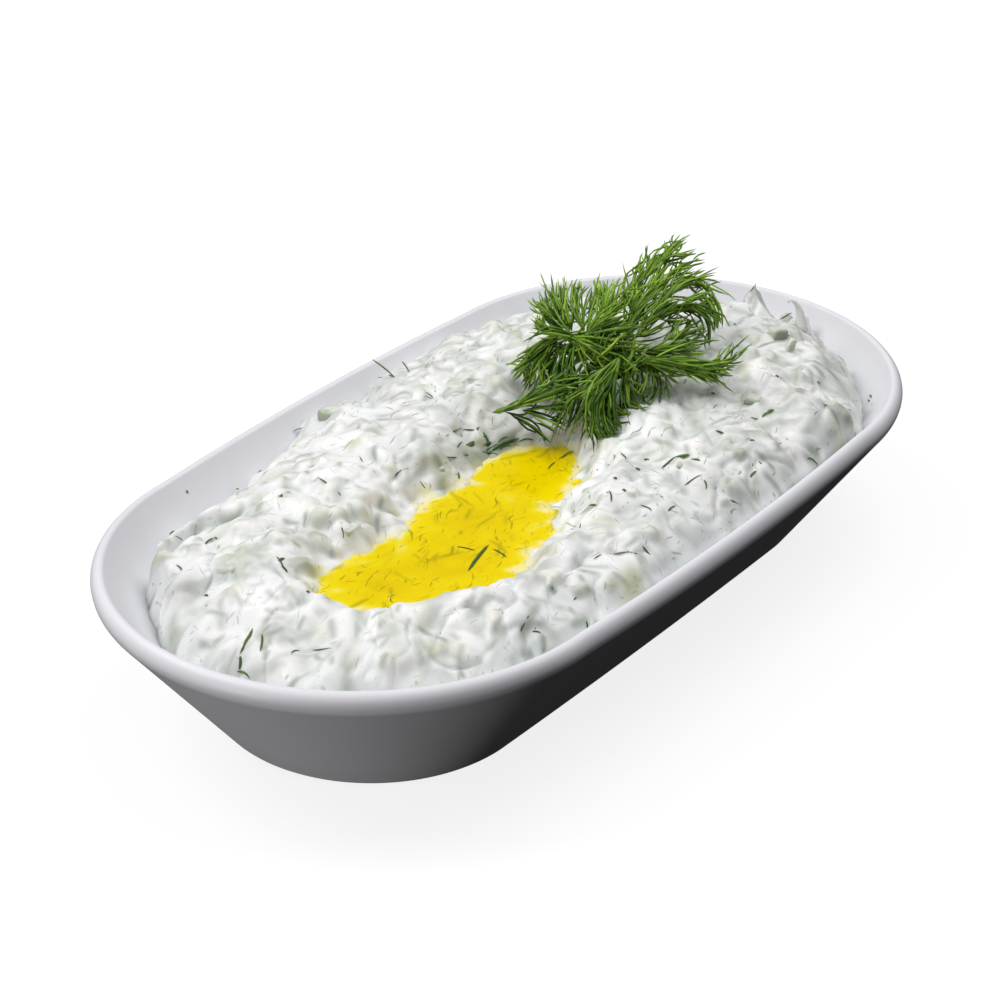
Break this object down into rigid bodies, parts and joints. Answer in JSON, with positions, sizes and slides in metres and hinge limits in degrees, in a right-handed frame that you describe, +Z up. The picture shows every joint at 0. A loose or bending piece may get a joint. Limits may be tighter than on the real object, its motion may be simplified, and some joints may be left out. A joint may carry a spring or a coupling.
{
  "type": "dish of haydari",
  "caption": "Haydari, a thick strained yoghurt dip with chopped dill and cucumber, heaped in an oval porcelain dish, with olive oil in a spooned hollow and a sprig of dill on top.",
  "frame": {"origin": "centre of the dish's plan, on the surface that its foot ring stands on", "axes": "+X along the dish, towards the end with the sprig; +Y across it; +Z up"},
  "size_m": [0.22, 0.116, 0.0657],
  "materials": {
    "porcelain": "smooth white glaze",
    "yoghurt": "moist, thick and creamy, with green flecks",
    "oil": "clear yellow oil with a wet shine",
    "dill": "fresh green threads with a soft shine",
    "cucumber": "wet cut flesh, pale green"
  },
  "bodies": {
    "root": {"dish": "porcelain", "haydari": "yoghurt", "olive_oil": "oil", "dill_sprig": "dill"}
  },
  "joints": []
}
